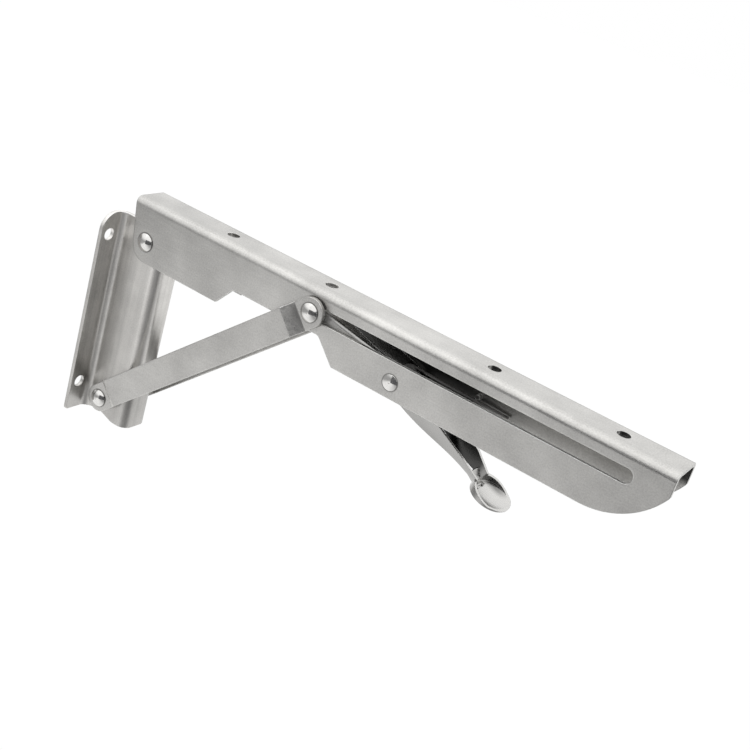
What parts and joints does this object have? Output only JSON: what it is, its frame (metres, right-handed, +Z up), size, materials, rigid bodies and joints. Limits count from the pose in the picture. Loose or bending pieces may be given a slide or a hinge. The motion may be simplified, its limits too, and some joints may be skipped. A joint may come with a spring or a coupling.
{
  "type": "folding shelf bracket",
  "caption": "Folding steel shelf bracket: a wall plate, a channel arm held level by paired struts that slide in slots, and a sprung release lever with a spoon-shaped thumb pad.",
  "frame": {"origin": "middle of the four wall screw holes, in the plane of the wall plate's back face", "axes": "+X out of the wall along the arm, +Y across the bracket to the far side of the picture, +Z up"},
  "size_m": [0.315, 0.046, 0.1274],
  "materials": {
    "plate_steel": "satin, drawn lengthwise",
    "arm_steel": "fine satin",
    "strut_steel": "fine satin",
    "lever_steel": "bright satin",
    "rivet_steel": "polished",
    "bush_steel": "turned",
    "spring_steel": "dark drawn wire"
  },
  "bodies": {
    "wall_plate": {"wall_plate": "plate_steel", "arm_pivot_rivet": "rivet_steel", "arm_pivot_sleeve": "bush_steel", "strut_foot_rivet": "rivet_steel", "strut_foot_sleeve": "bush_steel", "foot_spacer_near": "bush_steel", "foot_spacer_far": "bush_steel"},
    "arm": {"support_arm": "arm_steel", "lever_pivot_rivet": "rivet_steel", "lever_pivot_sleeve": "bush_steel", "lever_pivot_washer_near": "bush_steel", "lever_pivot_washer_far": "bush_steel", "lever_spring": "spring_steel"},
    "strut": {"strut_near": "strut_steel", "strut_far": "strut_steel", "strut_top_rivet_near": "rivet_steel", "strut_top_rivet_far": "rivet_steel"},
    "slot_bushes": {"slot_bush_near": "bush_steel", "slot_bush_far": "bush_steel"},
    "lever": {"release_lever": "lever_steel"}
  },
  "joints": [
    {"name": "arm_fold", "type": "hinge", "parent": "wall_plate", "child": "arm", "pos_m": [0.0215, 0, 0.046], "axis": [0, 1, 0], "range_deg": [0, 90]},
    {"name": "strut_swing", "type": "hinge", "parent": "wall_plate", "child": "strut", "pos_m": [0.0154, 0, -0.0475], "axis": [0, 1, 0], "range_deg": [0, 126.7]},
    {"name": "bush_slide", "type": "slide", "parent": "arm", "child": "slot_bushes", "axis": [1, 0, 0], "range_m": [0, 0.1389]},
    {"name": "lever_release", "type": "hinge", "parent": "arm", "child": "lever", "pos_m": [0.1776, 0, 0.0417], "axis": [0, -1, 0], "range_deg": [0, 17.5], "stiffness_Nm_per_rad": 0.8, "springref_deg": -20.05, "deforming": ["lever_spring"]}
  ],
  "couplings": [
    {"joint": "strut_swing", "follows": "arm_fold", "ratio": 1.4066},
    {"joint": "bush_slide", "follows": "arm_fold", "m_per_rad": 0.088325}
  ]
}
